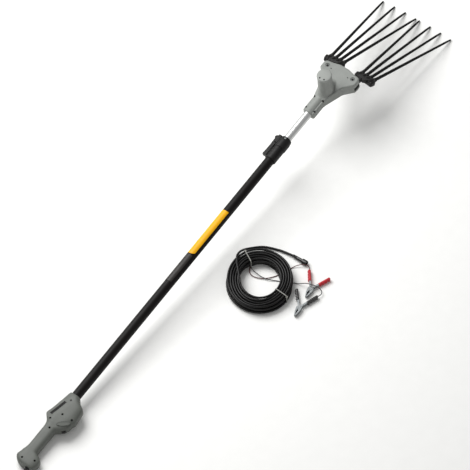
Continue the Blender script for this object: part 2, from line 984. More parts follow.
    def bottom_shell(self) -> None:
        """Builds the lower casing half with the slots of the rake arms."""
        tub = slab(self.outline(), self.bottom, self.seam)
        softened(tub, self.edge, 4, 60.0, lambda spot: spot.z < self.bottom + 0.1)
        start = self.neck_len - 6
        halved(tub, (start, 0, 0), (-1, 0, 0))
        slope = Vector((self.pivot_x - self.ear_r - start, 0, self.bottom + self.ridge_r))
        away = (slope.z, 0, -slope.x)
        halved(tub, (start, 0, -self.ridge_r), away)
        flange = slab(self.outline(), self.seam - self.flange_h, self.seam)
        halved(flange, (self.neck_len, 0, 0), (1, 0, 0))
        softened(flange, 1.0, 2, 60.0, lambda spot: spot.z < self.seam - self.flange_h + 0.1)
        bm = carved(tub, [self.neck(-1), flange], Carve.UNION)
        cuts = self.rooms(self.bottom + self.wall, self.seam + 1)
        halved(cuts[1], (self.neck_len + self.hollow_gap, 0, self.wall - self.ridge_r), away)
        cuts += self.at_pivots(lambda: rounded_rod(self.ear_r + 2.5, self.slot_bottom, 10, 0, 72))
        for side in Side:
            mouth = block((-18, 6, self.slot_bottom), (40, 40, 10))
            spot = moved(self.pivot_x, self.pivot_y, 0)
            cuts.append(shifted(mouth, Matrix.Diagonal((1, side.value, 1, 1)) @ spot))
        bm = carved(bm, cuts, Carve.DIFFERENCE)
        Part("head_casing_bottom", GREY_ABS, "head", "casing", ("head_bottom_shell",)).draw(bm, LYING)

    def screws(self) -> None:
        """Builds the screw heads of the neck."""
        heads = [
            shifted(head, moved(0, 0, self.neck_top - self.screw_seat))
            for head in self.at_neck_screws(lambda: cross_screw(self.screw_r, self.screw_h))
        ]
        Part("neck_screw_heads", BLACK_STEEL, "head", "steel", ("neck_screws",)).draw(joined(heads), LYING)

    def bolts(self) -> None:
        """Builds the two bolts that the rakes swing on, each with a six-sided socket in a collar."""
        high = self.top - self.bolt_recess
        low = high - self.bolt_head_h
        end = self.bottom + 1.5
        r, rim = self.bolt_r, self.bolt_head_r
        ring = [(r - 0.4, low), (rim, low), (rim, high - 1.0), (rim - 1.0, high), (r - 0.4, high)]
        stem = [
            (0.0, end), (r, end), (r, low), (r - 0.5, low + 0.1), (r - 0.5, high - 1.4),
            (r - 1.2, high - 0.8), (0.0, high - 0.8),
        ]

        def bolt() -> BMesh:
            """Draws one bolt."""
            socket = rounded_rod(self.socket_r, high - 3.4, high + 5, 0, 6)
            return carved(lathe(stem, 48), [socket], Carve.DIFFERENCE)

        collars = joined(self.at_pivots(lambda: lathe(ring, 48, True)))
        Part("rake_bolt_collars", GREY_STEEL, "head", "steel").draw(collars, LYING)
        bolts = joined(self.at_pivots(bolt))
        Part("rake_pivot_bolts", BLACK_STEEL, "head", "steel", ("pivot_bolts",)).draw(bolts, LYING)

    def cap(self) -> None:
        """Builds the domed cap of the motor tower with its two screw pockets."""
        low, r = self.tower_top, self.tower_top_r + self.cap_lip
        high = low + self.cap_h
        arc = [math.radians(15 * i) for i in range(6)]
        dome = [(r - 4.5 * (1 - math.cos(a)), high - 5.2 + 4.5 * math.sin(a)) for a in arc]
        profile = [(0.0, low), (r - 0.8, low), (r, low + 0.8), *dome, (r - 9, high - 0.2), (0.0, high)]
        cuts = []
        for degrees in self.cap_screws:
            spot = turned(degrees, "Z") @ moved(self.cap_ring, 0, 0)
            cuts.append(shifted(rounded_rod(self.cap_screw_r, high - 4, high + 5, 0, 24), spot))
        bm = carved(lathe(profile, 72), cuts, Carve.DIFFERENCE)
        place = LYING @ moved(self.motor_x, 0, 0)
        Part("motor_cap_dome", PALE_ABS, "head", "casing", ("motor_cap",)).draw(bm, place)

    def build(self) -> None:
        """Builds the casing."""
        self.top_shell()
        self.bottom_shell()
        self.screws()
        self.bolts()
        self.cap()


@dataclass
class Rake:
    """Hub and tines of one swinging rake, drawn for the left side in the harvester's frame."""

    side: Side
    rod_top: float
    pivot_x: float = PIVOT_X
    pivot_y: float = PIVOT_Y
    reach: float = 77.0
    out: float = 12.0
    depth: float = 53.0
    droop: float = 25.4
    toe: float = 1.7
    fan: float = 4.0
    spacing: float = 18.0
    tines: int = 4
    tine_r: float = 5.6
    tip_r: float = 3.8
    end_r: float = 2.75
    tine_len: float = 391.0
    tine_depth: float = 5.5
    tip_len: float = 30.0
    arm_low: float = -23.5
    arm_h: float = 17.0
    arm_half_w: float = 11.0
    arm_len: float = 34.0
    web_flare: float = 7.0
    boss_r: float = 13.05
    bush_r: float = 7.57
    socket_len: float = 18.0
    socket_r: float = 8.1
    bar_len: float = 24.0
    bar_h: float = 20.0
    bar_spare: float = 3.9
    rocker_low: float = -22.0
    rocker_t: float = 4.5
    rocker_r: float = 25.0
    rocker_turn: float = 258.0
    knuckle_size: Point = (6.5, 7.6, 18.0)

    def fan_r(self) -> float:
        """Gives the radius of the arc that the sockets stand on."""
        return self.spacing / math.tan(math.radians(self.fan))

    def rake_frame(self) -> Matrix:
        """Gives the frame at the middle of the sockets' mouths, with x along the tines."""
        mouth = moved(self.pivot_x + self.reach, self.pivot_y + self.out, -self.depth)
        return mouth @ turned(self.toe, "Z") @ turned(self.droop, "Y")

    def at_tines(self, make: Callable[[], BMesh]) -> list[BMesh]:
        """Puts one shape at each tine's mouth, with its z along the tine.

        Args:
            make: Draws the shape.

        Returns:
            The shapes.
        """
        r = self.fan_r()
        middle = (self.tines - 1) / 2
        shapes = []
        for k in range(self.tines):
            turn = turned((k - middle) * self.fan, "Z")
            place = self.rake_frame() @ moved(-r, 0, 0) @ turn @ moved(r, 0, 0) @ ALONG_X
            shapes.append(shifted(make(), place))
        return shapes

    def arm_frame(self) -> Matrix:
        """Gives the frame at the foot of the arm, with x along the arm."""
        out = turned(math.degrees(math.atan2(self.out, self.reach)), "Z")
        return moved(self.pivot_x, self.pivot_y, self.arm_low) @ out

    def arm(self) -> BMesh:
        """Draws the boss on the pivot and the arm that leaves the casing's slot.

        Returns:
            The arm with its boss.
        """
        boss = rounded_rod(self.boss_r, 0, self.arm_h, 1.0)
        shifted(boss, moved(self.pivot_x, self.pivot_y, self.arm_low))
        bar = block((0, -self.arm_half_w, 0.5), (self.arm_len, self.arm_half_w, self.arm_h - 0.5))
        softened(bar, 2.0)
        return carved(boss, [shifted(bar, self.arm_frame())], Carve.UNION)

    def web(self) -> BMesh:
        """Draws the web that goes from the arm down to the tine bar.

        Returns:
            The web.
        """
        bm = block((0, -1, -1), (1, 1, 1))
        for vert in bm.verts:
            far, y, z = vert.co
            if far < 0.5:
                half = self.arm_half_w + (self.web_flare if y > 0 else -0.5)
                near = Vector((self.arm_len - 7, y * half, self.arm_h / 2 * (1 + 0.9 * z)))
                vert.co = self.arm_frame() @ near
            else:
                spot = Vector((-self.socket_len - 6, y * 1.4 * self.spacing, z * 0.46 * self.bar_h))
                vert.co = self.rake_frame() @ spot
        return softened(bm, 3.0)

    def bar(self) -> BMesh:
        """Draws the curved bar that carries the sockets.

        Returns:
            The bar.
        """
        r = self.fan_r()
        sweep = self.fan * (self.tines - 1) + 2 * self.bar_spare
        bm = bmesh.new()
        inner = r - self.socket_len - self.bar_len
        low = -self.bar_h / 2
        rim = [(inner, low), (inner + self.bar_len, low), (inner + self.bar_len, -low), (inner, -low)]
        face = bm.faces.new([bm.verts.new((x, 0, z)) for x, z in rim])
        bmesh.ops.rotate(bm, verts=face.verts[:], cent=(0, 0, 0), matrix=turned(-sweep / 2, "Z").to_3x3())
        bmesh.ops.spin(
            bm, geom=[face], cent=(0, 0, 0), axis=(0, 0, 1), dvec=(0, 0, 0), angle=math.radians(sweep),
            steps=12, use_merge=False, use_duplicate=False,
        )
        outward(bm)
        softened(bm, 6.0, 4, 40.0)
        return shifted(bm, self.rake_frame() @ moved(-r, 0, 0))

    def socket(self) -> BMesh:
        """Draws one stepped tine socket with z along the tine, its mouth at 0.

        Returns:
            The socket.
        """
        r = self.socket_r
        step = -0.4 * self.socket_len
        profile = [
            (0.0, -self.socket_len - 4), (r, -self.socket_len - 4), (r, step - 1.2), (r - 1.1, step),
            (r - 1.1, -1.0), (r - 1.5, -0.3), (r - 2.1, 0.0), (0.0, 0.0),
        ]
        return lathe(profile, 32)

    def tine(self) -> BMesh:
        """Draws one tapered tine with z along it, its tip drawn in and rounded.

        Returns:
            The tine.
        """
        arc = [math.radians(15 * i) for i in range(1, 6)]
        nose = [(self.end_r * math.cos(a), self.tine_len + self.end_r * math.sin(a)) for a in arc]
        profile = [
            (0.0, -self.tine_depth), (self.tine_r, -self.tine_depth), (self.tine_r, 0.0),
            (self.tip_r, self.tine_len - self.tip_len), (self.end_r, self.tine_len), *nose,
            (0.0, self.tine_len + self.end_r),
        ]
        return lathe(profile, 24)

    def knuckle(self) -> BMesh:
        """Draws the round back of a socket on top of the bar, with z along the tine.

        Returns:
            The knuckle.
        """
        bm = bmesh.new()
        bmesh.ops.create_uvsphere(bm, u_segments=24, v_segments=14, radius=1.0)
        bmesh.ops.scale(bm, vec=self.knuckle_size, verts=bm.verts[:])
        return shifted(bm, moved(-self.knuckle_size[0], 0, -self.socket_len - 9))

    def rocker(self) -> BMesh:
        """Draws the short arm inside the casing that the connecting rod pushes.

        Returns:
            The short arm with its pin.
        """
        pivot = moved(self.pivot_x, self.pivot_y, self.rocker_low)
        arm = block((0, -5, 0), (self.rocker_r - 4, 5, self.rocker_t))
        eye = shifted(rounded_rod(7.0, 0.1, self.rocker_t - 0.1, 0.5), moved(self.rocker_r, 0, 0))
        pin = rounded_rod(3.0, 1.0, self.rod_top - self.rocker_low, 0.5, 32)
        shifted(pin, moved(self.rocker_r, 0, 0))
        bm = carved(eye, [arm, pin], Carve.UNION)
        return shifted(bm, pivot @ turned(self.rocker_turn, "Z"))

    def build(self) -> None:
        """Builds the hub and its tines."""
        added = [self.web(), self.bar(), *self.at_tines(self.knuckle), *self.at_tines(self.socket)]
        bm = carved(self.arm(), [*added, self.rocker()], Carve.UNION)
        bore = rounded_rod(self.bush_r, self.arm_low - 2, self.arm_low + self.arm_h + 2, 0)
        cuts = [shifted(bore, moved(self.pivot_x, self.pivot_y, 0))]
        cuts += self.at_tines(lambda: rounded_rod(self.tine_r + 0.05, -6, 4, 0, 24))
        bm = carved(bm, cuts, Carve.DIFFERENCE)
        name = self.side.name.lower()
        body = f"rake_{name}"
        place = LYING @ Matrix.Diagonal((1, self.side.value, 1, 1))
        Part(f"rake_hub_{name}", BLACK_NYLON, body, "black_plastic", (f"hub_{name}",)).draw(bm, place)
        tines = joined(self.at_tines(self.tine))
        Part(f"rake_tines_{name}", FIBRE_ROD, body, "tine", (f"tines_{name}",)).draw(tines, place)


# Pole


@dataclass
class PoleClamp:
    """Clamp that locks the inner tube, with its flip lever, in the harvester's frame."""

    front: float = -128.0
    length: float = 100.0
    collar_len: float = 46.0
    sleeve_r: float = 21.0
    collar_r: float = 22.4
    nose_r: float = 18.2
    tube_r: float = TUBE_SKIN_R
    inner_r: float = 14.8
    step_x: float = -150.0
    pin_x: float = -144.0
    pin_y: float = 27.5
    lever_len: float = 76.0
    lever_head_r: float = 8.5
    lever_t: float = 13.0
    lever_w: float = 22.0
    cheek_t: float = 5.0
    gap: float = 0.3
    pin_r: float = 2.5
    screw_hole_r: float = 3.9
    split_half: float = 0.6
    split_turn: float = 38.0
    neck_len: float = 24.0
    paddle_start: float = -18.0

    def build(self) -> None:
        """Builds the clamp's body and its lever."""
        self.body()
        self.lever()

    def at_pin(self, bm: BMesh, z: float = 0.0) -> BMesh:
        """Moves a mesh to the lever's pin."""
        return shifted(bm, moved(self.pin_x, self.pin_y, z))

    def body(self) -> None:
        """Builds the collar, the split sleeve and the cheeks of the lever."""
        back = self.front - self.length
        joint = self.front - self.collar_len
        sleeve, collar, nose = self.sleeve_r, self.collar_r, self.nose_r
        profile = [
            (self.tube_r, back), (sleeve - 1.2, back), (sleeve, back + 1.2), (sleeve, joint - 0.6),
            (sleeve - 0.8, joint), (collar - 0.8, joint), (collar, joint + 0.8), (collar, self.front - 17),
            (nose + 1.4, self.front - 2), (nose, self.front), (self.inner_r, self.front),
            (self.inner_r, self.step_x), (self.tube_r, self.step_x),
        ]
        tube = shifted(lathe(profile, 96, True), ALONG_X)
        room = self.lever_t / 2 + self.gap
        half = self.cheek_t / 2
        cheeks = []
        for sign in (-1, 1):
            knuckle = rounded_rod(self.lever_head_r + 1, -half - 0.2, half + 0.2, 0.8)
            foot = block((-17, self.tube_r + 0.1 - self.pin_y, -half), (15, 1.5, half))
            softened(foot, 0.8)
            cheeks += [self.at_pin(bm, sign * (room + half)) for bm in (knuckle, foot)]
        bm = carved(tube, cheeks, Carve.UNION)
        pocket = rounded_rod(self.lever_head_r + self.gap, -room, room, 0)
        split = block((back - 1, -self.split_half, self.inner_r), (joint + 2, self.split_half, collar + 4))
        cuts = [
            self.at_pin(pocket),
            self.at_pin(rounded_rod(self.pin_r + 0.02, -20, 20, 0, 32)),
            shifted(rounded_rod(self.screw_hole_r, nose, 40, 0, 24), moved(self.front - 8, 0, 0)),
            shifted(split, turned(self.split_turn, "X")),
        ]
        bm = carved(bm, cuts, Carve.DIFFERENCE)
        Part("clamp_body", BLACK_NYLON, "pole", "black_plastic", ("pole_clamp",)).draw(bm, LYING)

    def lever(self) -> None:
        """Builds the cam lever, whose paddle hugs the sleeve."""
        half_t, half_w = self.lever_t / 2, self.lever_w / 2
        head = rounded_rod(self.lever_head_r, -half_t, half_t, 0.6)
        neck = block((-self.neck_len, -4, -half_t), (0, self.lever_head_r - 0.2, half_t))
        softened(neck, 0.8)
        start = self.paddle_start
        paddle = block((-self.lever_len, 0, -half_w), (start, 1, half_w))
        bmesh.ops.subdivide_edges(paddle, edges=paddle.edges[:], cuts=7, use_grid_fill=True)
        for vert in paddle.verts:
            side = abs(vert.co.z) / half_w
            far = (start - vert.co.x) / (self.lever_len + start)
            vert.co.z *= 1.0 - 0.1 * far
            inner = math.sqrt((self.collar_r + 0.6) ** 2 - vert.co.z ** 2) - self.pin_y
            outer = self.lever_head_r - 3.0 * side ** 2 + 1.8 * far ** 3
            vert.co.y = inner + (outer - inner) * vert.co.y
        softened(paddle, 1.2, 3, 50.0)
        bm = carved(head, [neck, paddle], Carve.UNION)
        bm = carved(bm, [rounded_rod(self.pin_r + 0.05, -20, 20, 0, 32)], Carve.DIFFERENCE)
        lever = Part("clamp_lever_paddle", BLACK_NYLON, "clamp_lever", "black_plastic", ("clamp_lever",))
        lever.draw(self.at_pin(bm), LYING)


@dataclass
class PoleFilm:
    """Vinyl films on the outer tube, in the harvester's frame."""

    radius: float = TUBE_SKIN_R
    thick: float = 0.35
    band_start: float = -482.0
    band_end: float = -686.0
    film_end: float = -815.0
    from_deg: float = 10.0
    to_deg: float = 128.0
    round_end: float = 12.0
    film_gap: float = 4.0
    film_inset: float = 6.0

    def film(self, start: float, end: float, rounding: float, low: float, high: float) -> BMesh:
        """Draws a film wrapped round part of the tube.

        Args:
            start: Its front end along x.
            end: Its rear end along x.
            rounding: How far the rear end bulges.
            low: Angle of its left edge from the left, in degrees.
            high: Angle of its right edge.

        Returns:
            The film.
        """
        bm = bmesh.new()
        bmesh.ops.create_grid(bm, x_segments=24, y_segments=28, size=1.0)
        for vert in bm.verts:
            across = vert.co.y
            bulge = rounding * (math.sqrt(max(0.0, 1 - across ** 2)) - 1)
            angle = math.radians(low + (high - low) * (across + 1) / 2)
            x = start + (end - bulge - start) * (vert.co.x + 1) / 2
            vert.co = (x, self.radius * math.cos(angle), self.radius * math.sin(angle))
        outward(bm)
        if sum(face.normal.z for face in bm.faces) < 0:
            bmesh.ops.reverse_faces(bm, faces=bm.faces[:])
        bmesh.ops.solidify(bm, geom=bm.faces[:], thickness=-self.thick)
        return outward(bm)

    def build(self) -> None:
        """Builds the yellow band and the bare dark film behind it."""
        left, right = self.from_deg, self.to_deg
        band = self.film(self.band_start, self.band_end, self.round_end, left, right)
        Part("yellow_band", YELLOW_FILM, "pole", "band", ("pole_band",)).draw(band, LYING)
        start = self.band_end - self.film_gap
        bare = self.film(start, self.film_end, 0.0, left + self.film_inset, right - self.film_inset)
        Part("bare_film", DARK_FILM, "pole", "band").draw(bare, LYING)


# Handle


@dataclass
class Handle:
    """Two-part grey handle with its trigger, strip, badge, screws and power inlet."""

    mouth_x: float = -1357.0
    length: float = 316.0
    body_len: float = 148.0
    pommel_at: float = 256.0
    tube_r: float = TUBE_SKIN_R
    tube_socket: float = 61.0
    section_power: float = 3.2
    section_sides: int = 64
    ring_step: float = 4.0
    seam: float = 0.25
    screw_seat: float = 11.0
    screw_r: float = 3.6
    screw_h: float = 2.4
    screw_hole_r: float = 4.0
    mouth_screw: Point = (-28.0, -4.0, 20.5)
    mouth_screw_h: float = 1.6
    clear: float = 40.0
    trigger_at: Flat = (131.0, -47.0)
    trigger_turn: float = 228.0
    trigger_w: float = 16.0
    trigger_h: float = 12.0
    key_back: float = -14.0
    key_front: float = 6.0
    inlet_y: float = -28.0
    inlet_r: float = 9.0
    contact_y: float = 2.6
    strip_at: float = 72.5
    strip_inset: float = 19.0
    strip_size: Point = (66.0, 12.0, 1.8)
    strip_sunk: float = 1.0
    badge_at: Flat = (117.0, -36.5)
    badge_turn: float = -53.0
    badge_size: Flat = (48.0, 17.0)
    badge_sunk: float = 1.4
    bevel_w: float = 10.0
    bevel_drop: float = 5.0
    body_bevel_w: float = 26.0
    body_bevel_drop: float = 7.5
    bevel_start: float = 4.0
    bevel_rise: float = 30.0
    bevel_fade: float = 24.0
    bevel_share: float = 0.9

    def place(self) -> Matrix:
        """Gives the handle's frame at its mouth, on the ground."""
        return LYING @ moved(self.mouth_x, 0, 0)

    def stations(self) -> list[tuple[float, float, float, float]]:
        """Gives distance from the mouth, left reach, right reach and half thickness.

        Returns:
            One row for each station.
        """
        b, p = self.body_len, self.pommel_at
        return [
            (0, 21, 21, 21), (0.03 * b, 22, 24, 23), (0.10 * b, 24, 33, 24), (0.20 * b, 27, 54.1, 24.5),
            (0.25 * b, 29, 59.4, 24.5), (0.45 * b, 34.8, 63.4, 24.5), (0.61 * b, 40.5, 66, 24.5),
            (0.65 * b, 42.7, 62, 24.5), (0.71 * b, 44, 61, 24.5), (0.78 * b, 37, 59, 24),
            (0.86 * b, 27.3, 52.8, 23), (0.94 * b, 21.5, 41.6, 21), (b, 20, 28.5, 20),
            (b + 10, 19.5, 25.5, 19), (p - 20, 19.5, 25.5, 19), (p, 22.5, 27.5, 19.5),
            (p + 8, 25.5, 42.2, 20), (p + 20, 28, 55, 21), (p + 34, 32, 57, 21), (304, 24, 55, 20.5),
            (312, 12.8, 52, 19), (316, 4.8, 48, 16.5),
        ]

    def station(self, distance: float) -> list[float]:
        """Gives the handle's reaches at any distance, by a curve that never overshoots.

        Args:
            distance: Distance from the mouth.

        Returns:
            Left reach, right reach and half thickness.
        """
        table = self.stations()
        last = len(table) - 2
        i = min(last, max(k for k, row in enumerate(table) if row[0] <= distance))
        span = table[i + 1][0] - table[i][0]
        t = (distance - table[i][0]) / span
        values = []
        for column in (1, 2, 3):
            ends = [self.slope(i, column), self.slope(i + 1, column)]
            a, b = table[i][column], table[i + 1][column]
            values.append(
                a * (2 * t ** 3 - 3 * t ** 2 + 1) + b * (3 * t ** 2 - 2 * t ** 3)
                + span * (ends[0] * (t ** 3 - 2 * t ** 2 + t) + ends[1] * (t ** 3 - t ** 2))
            )
        return values

    def slope(self, i: int, column: int) -> float:
        """Gives a station's slope, flat where the outline turns back.

        Args:
            i: Number of the station.
            column: Column of the station's row.

        Returns:
            The slope.
        """
        table = self.stations()
        if i in (0, len(table) - 1):
            return 0.0
        before = (table[i][column] - table[i - 1][column]) / (table[i][0] - table[i - 1][0])
        after = (table[i + 1][column] - table[i][column]) / (table[i + 1][0] - table[i][0])
        return 0.0 if before * after <= 0 else 2 * before * after / (before + after)

    def shoulder(self, distance: float, left: float, high: float, y: float) -> float:
        """Gives the height of the bevel on the left edge over a point of a section.

        Args:
            distance: Distance from the mouth.
            left: Left reach of the section.
            high: Half thickness of the section.
            y: Place across the section.

        Returns:
            The height.
        """
        body = min(1.0, max(0.0, (self.bevel_share * self.body_len - distance) / self.bevel_fade))
        begun = min(1.0, max(0.0, (distance - self.bevel_start) / self.bevel_rise))
        width = self.bevel_w + self.body_bevel_w * body
        drop = (self.bevel_drop + self.body_bevel_drop * body) * begun
        return high - drop * max(0.0, (y - left + width) / width)

    def ring(self, distance: float) -> list[Vector]:
        """Draws one section of the handle.

        Args:
            distance: Distance from the mouth.

        Returns:
            The points of the section.
        """
        left, right, high = self.station(distance)
        half, middle = (left + right) / 2, (left - right) / 2
        points = []
        for y, z in squared_ring(middle, half, high, 2 / self.section_power, self.section_sides):
            if z > 0:
                z = min(z, self.shoulder(distance, left, high, y))
            points.append(Vector((-distance, y, z)))
        return points

    def solid(self) -> BMesh:
        """Draws the whole handle as one closed skin.

        Returns:
            The skin.
        """
        rings = []
        for row, after in zip(self.stations(), self.stations()[1:]):
            count = max(1, round((after[0] - row[0]) / self.ring_step))
            rings += [self.ring(row[0] + (after[0] - row[0]) * k / count) for k in range(count)]
        return bridged(rings + [self.ring(self.length)])

    def trigger_frame(self) -> Matrix:
        """Gives the frame of the trigger, which moves along its x."""
        return moved(-self.trigger_at[0], self.trigger_at[1], 0) @ turned(self.trigger_turn, "Z")

    def on_bevel(self, distance: float, inset: float) -> Vector:
        """Gives the point of the left bevel so far in from the left edge."""
        left, _, high = self.station(distance)
        return Vector((-distance, left - inset, self.shoulder(distance, left, high, left - inset)))

    def strip_frame(self) -> Matrix:
        """Gives the frame of the status strip, which follows the left bevel.

        Returns:
            The frame, with z out of the bevel.
        """
        middle = self.on_bevel(self.strip_at, self.strip_inset)
        ahead = self.on_bevel(self.strip_at - 20, self.strip_inset)
        behind = self.on_bevel(self.strip_at + 20, self.strip_inset)
        along = (ahead - behind).normalized()
        out = along.cross(self.on_bevel(self.strip_at, self.strip_inset - 4) - middle).normalized()
        return facing(middle, along, out)

    def top(self, distance: float, y: float) -> Vector:
        """Gives the point of the upper surface over a distance and y.

        Args:
            distance: Distance from the mouth.
            y: Place across the handle.

        Returns:
            The point.
        """
        left, right, high = self.station(distance)
        share = min(1.0, abs(2 * y - left + right) / (left + right))
        z = high * (1 - share ** self.section_power) ** (1 / self.section_power)
        return Vector((-distance, y, min(z, self.shoulder(distance, left, high, y))))

    def badge_frame(self) -> Matrix:
        """Gives the frame of the oval badge, which lies on the surface.

        Returns:
            The frame, with z out of the surface.
        """
        x, y = self.badge_at
        along = self.top(x - 6, y) - self.top(x + 6, y)
        out = along.cross(self.top(x, y + 5) - self.top(x, y - 5)).normalized()
        along = (along - out * along.dot(out)).normalized()
        return facing(self.top(x, y), along, out) @ turned(self.badge_turn, "Z")

    def inlet_frame(self) -> Matrix:
        """Gives the frame of the power inlet, with z out of the pommel."""
        return moved(-self.length, self.inlet_y, 0) @ turned(-90, "Y")

    def screw_spots(self) -> list[Flat]:
        """Gives distance and y of each shell screw."""
        b, n = self.body_len, self.length
        return [(0.6 * b, -13), (0.6 * b, -52), (0.82 * b, 15), (b + 5, -5), (n - 18, 4), (n - 30, -40)]

    def oval(self, grow: float, low: float, high: float) -> BMesh:
        """Draws the badge's oval as a slab."""
        x, y = (size / 2 + grow for size in self.badge_size)
        return shifted(rounded_rod(1.0, low, high, 0, 72), Matrix.Diagonal((x, y, 1, 1)))

    def shells(self) -> None:
        """Builds both shells with everything that is cut out of them."""
        sx, sy, _ = (size / 2 + 0.4 for size in self.strip_size)
        w, h = self.trigger_w / 2 + 0.3, self.trigger_h / 2 + 0.3

        def common() -> list[BMesh]:
            """Draws what is cut out of both shells.

            Returns:
                The meshes to cut with.
            """
            return [
                shifted(rounded_rod(self.tube_r, -self.tube_socket, 5, 0, 96), ALONG_X),
                shifted(block((-18, -w, -h), (18, w, h)), self.trigger_frame()),
                shifted(rounded_rod(self.inlet_r + 0.05, -18, 12, 0), self.inlet_frame()),
            ]

        def screw_hole(x: float, y: float, seat: float) -> BMesh:
            """Draws the hole over one screw."""
            return shifted(rounded_rod(self.screw_hole_r, seat, self.clear, 0, 28), moved(x, y, 0))

        upper = halved(self.solid(), (0, 0, self.seam), (0, 0, -1))
        cuts = common()
        cuts += [screw_hole(-x, y, self.screw_seat) for x, y in self.screw_spots()]
        cuts.append(screw_hole(*self.mouth_screw))
        cuts.append(shifted(block((-sx, -sy, -self.strip_sunk), (sx, sy, 9)), self.strip_frame()))
        cuts.append(shifted(self.oval(1.0, -self.badge_sunk, 9), self.badge_frame()))
        upper = carved(upper, cuts, Carve.DIFFERENCE)
        lower = halved(self.solid(), (0, 0, -self.seam), (0, 0, 1))
        lower = carved(lower, common(), Carve.DIFFERENCE)
        for name, bm in (("upper", upper), ("lower", lower)):
            shell = Part(f"handle_shell_{name}", DARK_GREY_ABS, "pole", "casing", (f"handle_{name}_shell",))
            shell.draw(bm, self.place())

    def strip(self) -> None:
        """Builds the dark status strip on the left bevel."""
        x, y, z = self.strip_size
        low = -self.strip_sunk
        strip = softened(block((-x / 2, -y / 2, low), (x / 2, y / 2, z - 1.4)), 0.5, 2)
        window = Part("status_window", SMOKED_ACRYLIC, "pole", "black_plastic", ("status_strip",))
        window.draw(strip, self.place() @ self.strip_frame())

    def badge(self) -> None:
        """Builds the bare oval badge with its raised rim."""
        badge = softened(self.oval(0.0, -self.badge_sunk, 1.5), 0.5, 2, 60.0)
        badge = carved(badge, [self.oval(-1.7, 0.7, 9)], Carve.DIFFERENCE)
        plate = Part("bare_badge", DARK_GREY_ABS, "pole", "casing", ("badge_plate",))
        plate.draw(badge, self.place() @ self.badge_frame())

    def screws(self) -> None:
        """Builds the screw heads of the upper shell."""
        heads = [
            shifted(cross_screw(self.screw_r, self.screw_h), moved(-x, y, self.screw_seat))
            for x, y in self.screw_spots()
        ]
        heads.append(shifted(cross_screw(self.screw_r, self.mouth_screw_h), moved(*self.mouth_screw)))
        screws = Part("handle_screw_heads", BLACK_STEEL, "pole", "steel", ("handle_screws",))
        screws.draw(joined(heads), self.place())

    def trigger(self) -> None:
        """Builds the rounded trigger key with its stop flange."""
        w, h, back = self.trigger_w / 2, self.trigger_h / 2, self.key_back
        key = block((back, -w, -h), (self.key_front, w, h))
        bmesh.ops.subdivide_edges(key, edges=key.edges[:], cuts=7, use_grid_fill=True)
        for vert in key.verts:
            if vert.co.x > 0:
                vert.co.x *= 1 - 0.65 * (abs(vert.co.y) / w) ** 2.4
        softened(key, 1.4, 3, 50.0)
        stop = softened(block((back, -w - 3, -h - 2), (back + 3, w + 3, h + 2)), 0.5, 2)
        bm = carved(key, [stop], Carve.UNION)
        trigger = Part("trigger_key", BLACK_NYLON, "trigger", "black_plastic", ("trigger",))
        trigger.draw(bm, self.place() @ self.trigger_frame())

    def inlet(self) -> None:
        """Builds the threaded power inlet and its contacts."""
        r = self.inlet_r
        thread = [(8.0 - (0.0 if i % 2 else 0.7), 2.6 + 0.9 * i) for i in range(8)]
        profile = [
            (0.0, -17.5), (r, -17.5), (r, 1.4), (8.6, 2.0), (7.3, 2.2), *thread, (7.6, 10.0), (6.0, 10.0),
            (6.0, -4.0), (0.0, -4.0),
        ]
        place = self.place() @ self.inlet_frame()
        inlet = Part("inlet_socket", GLOSS_NYLON, "pole", "black_plastic", ("power_inlet",))
        inlet.draw(lathe(profile, 48), place)
        spots = [moved(0, sign * self.contact_y, 0) for sign in (-1, 1)]
        pins = [shifted(rounded_rod(1.2, -4.5, 4.0, 0.4, 20), spot) for spot in spots]
        Part("inlet_contacts", BRASS, "pole", "steel").draw(joined(pins), place)

    def build(self) -> None:
        """Builds the handle."""
        self.shells()
        self.strip()
        self.badge()
        self.screws()
        self.trigger()
        self.inlet()


# Battery lead


